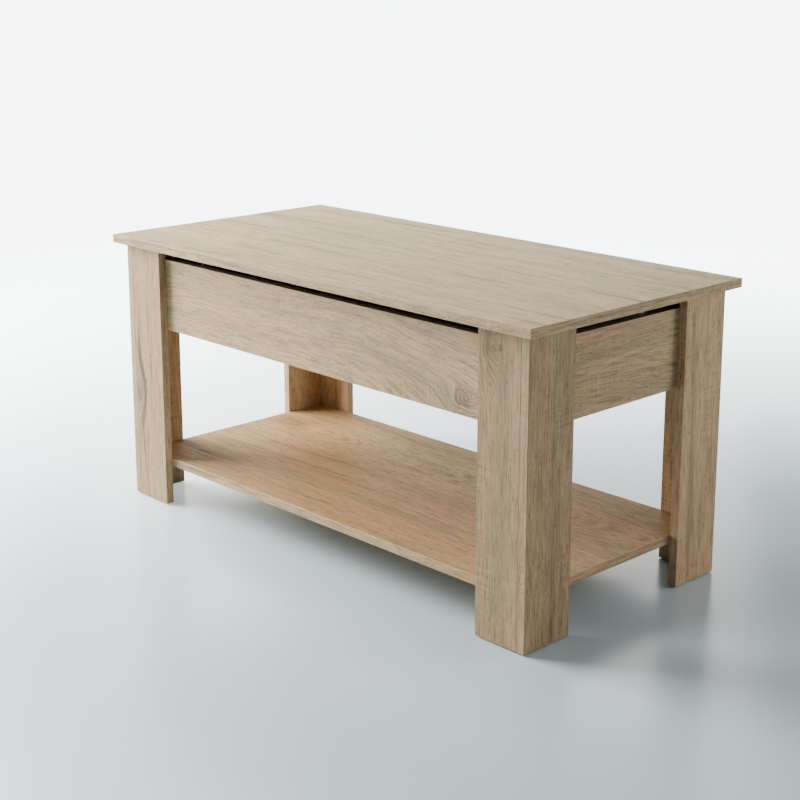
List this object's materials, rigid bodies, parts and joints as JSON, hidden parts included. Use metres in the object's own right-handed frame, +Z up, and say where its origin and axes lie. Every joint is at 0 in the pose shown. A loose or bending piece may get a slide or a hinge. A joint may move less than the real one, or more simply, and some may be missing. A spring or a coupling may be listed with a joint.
{
  "type": "lift top coffee table",
  "caption": "Rectangular coffee table whose top swings up and forward over a storage compartment, on L-shaped board legs with an open lower shelf.",
  "frame": {"origin": "on the floor under the middle of the closed table", "axes": "+X along the table's length towards its right end, +Y from the front, where the user sits, to the rear, +Z up"},
  "size_m": [1.02, 0.5, 0.496],
  "materials": {
    "oak_board": "satin",
    "edge_band": "satin",
    "nylon_glide": "matte",
    "rubber_pad": "matte",
    "black_steel": "satin",
    "zinc_steel": "satin",
    "spring_steel": "polished"
  },
  "bodies": {
    "root": {"front_left_leg_end_board": "oak_board", "front_left_leg_face_board": "oak_board", "front_right_leg_end_board": "oak_board", "front_right_leg_face_board": "oak_board", "rear_left_leg_end_board": "oak_board", "rear_left_leg_face_board": "oak_board", "rear_right_leg_end_board": "oak_board", "rear_right_leg_face_board": "oak_board", "front_apron": "oak_board", "rear_apron": "oak_board", "left_apron": "oak_board", "right_apron": "oak_board", "compartment_floor": "oak_board", "lower_shelf": "oak_board", "front_left_end_glide": "nylon_glide", "front_left_face_glide": "nylon_glide", "front_left_bumper": "rubber_pad", "front_right_end_glide": "nylon_glide", "front_right_face_glide": "nylon_glide", "front_right_bumper": "rubber_pad", "rear_left_end_glide": "nylon_glide", "rear_left_face_glide": "nylon_glide", "rear_left_bumper": "rubber_pad", "rear_right_end_glide": "nylon_glide", "rear_right_face_glide": "nylon_glide", "rear_right_bumper": "rubber_pad", "left_base_plate": "black_steel", "left_front_lower_pin": "zinc_steel", "left_rear_lower_pin": "zinc_steel", "left_stop_pin": "zinc_steel", "left_base_screw_front": "zinc_steel", "left_base_screw_rear": "zinc_steel", "left_spring": "spring_steel", "right_base_plate": "black_steel", "right_front_lower_pin": "zinc_steel", "right_rear_lower_pin": "zinc_steel", "right_stop_pin": "zinc_steel", "right_base_screw_front": "zinc_steel", "right_base_screw_rear": "zinc_steel", "right_spring": "spring_steel"},
    "left_rear_arm": {"left_rear_arm": "black_steel", "left_spring_stud": "zinc_steel"},
    "left_front_arm": {"left_front_arm": "black_steel"},
    "right_rear_arm": {"right_rear_arm": "black_steel", "right_spring_stud": "zinc_steel"},
    "right_front_arm": {"right_front_arm": "black_steel"},
    "top": {"top_panel": "oak_board", "top_edge_band": "edge_band", "left_top_rail": "black_steel", "left_front_upper_pin": "zinc_steel", "left_rear_upper_pin": "zinc_steel", "left_rail_screw_front": "zinc_steel", "left_rail_screw_rear": "zinc_steel", "right_top_rail": "black_steel", "right_front_upper_pin": "zinc_steel", "right_rear_upper_pin": "zinc_steel", "right_rail_screw_front": "zinc_steel", "right_rail_screw_rear": "zinc_steel"}
  },
  "joints": [
    {"name": "lift", "type": "hinge", "parent": "root", "child": "left_rear_arm", "pos_m": [-0.457, 0.02, 0.4073], "axis": [1, 0, 0], "range_deg": [0, 107], "deforming": ["left_spring", "right_spring"]},
    {"name": "left_front_arm_pivot", "type": "hinge", "parent": "root", "child": "left_front_arm", "pos_m": [-0.457, -0.1, 0.4273], "axis": [1, 0, 0], "range_deg": [0, 107]},
    {"name": "right_rear_arm_pivot", "type": "hinge", "parent": "root", "child": "right_rear_arm", "pos_m": [0.457, 0.02, 0.4073], "axis": [1, 0, 0], "range_deg": [0, 107]},
    {"name": "right_front_arm_pivot", "type": "hinge", "parent": "root", "child": "right_front_arm", "pos_m": [0.457, -0.1, 0.4273], "axis": [1, 0, 0], "range_deg": [0, 107]},
    {"name": "top_pivot", "type": "hinge", "parent": "left_rear_arm", "child": "top", "pos_m": [-0.457, 0.18139, 0.44161], "axis": [1, 0, 0], "range_deg": [-107, 0]}
  ],
  "couplings": [
    {"joint": "left_front_arm_pivot", "follows": "lift", "ratio": 1},
    {"joint": "right_rear_arm_pivot", "follows": "lift", "ratio": 1},
    {"joint": "right_front_arm_pivot", "follows": "lift", "ratio": 1},
    {"joint": "top_pivot", "follows": "lift", "ratio": -1}
  ]
}
